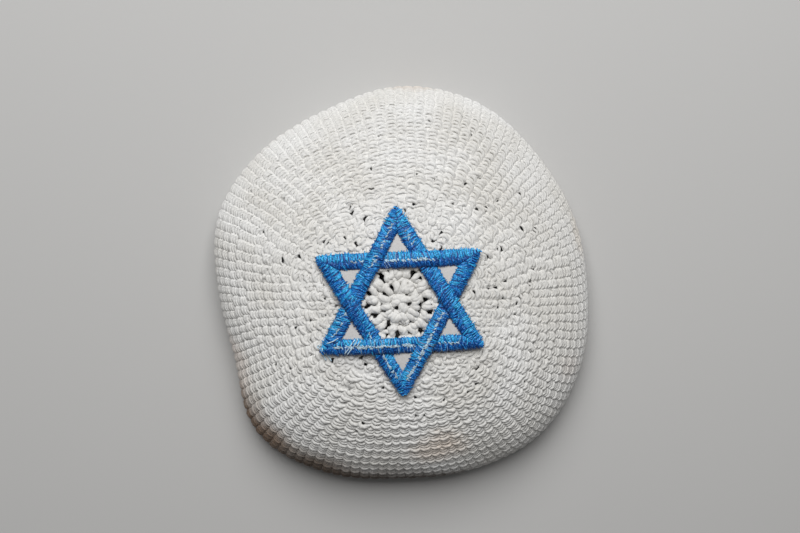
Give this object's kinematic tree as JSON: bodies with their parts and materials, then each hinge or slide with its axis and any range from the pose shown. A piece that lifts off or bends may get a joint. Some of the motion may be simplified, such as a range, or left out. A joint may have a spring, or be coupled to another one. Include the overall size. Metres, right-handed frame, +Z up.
{
  "type": "crocheted kippah",
  "caption": "Shallow round crocheted cotton skullcap, open below, with an interlaced six-pointed star of blue satin stitch sewn on its crown.",
  "frame": {"origin": "middle of the cap's plan box, on the plane that its rim rests on", "axes": "+Z up through the crown; +Y towards the star's upper point, the picture's top; +X to the picture's right"},
  "size_m": [0.171, 0.1814, 0.0548],
  "materials": {
    "crocheted_cotton": "matte cotton yarn in rounds of single crochet",
    "white_felt": "smooth matte felt",
    "blue_satin_thread": "satin stitch with a soft sheen"
  },
  "bodies": {
    "root": {"crown": "crocheted_cotton", "star_backing": "white_felt", "star_triangle_up": "blue_satin_thread", "star_triangle_down": "blue_satin_thread"}
  },
  "joints": []
}
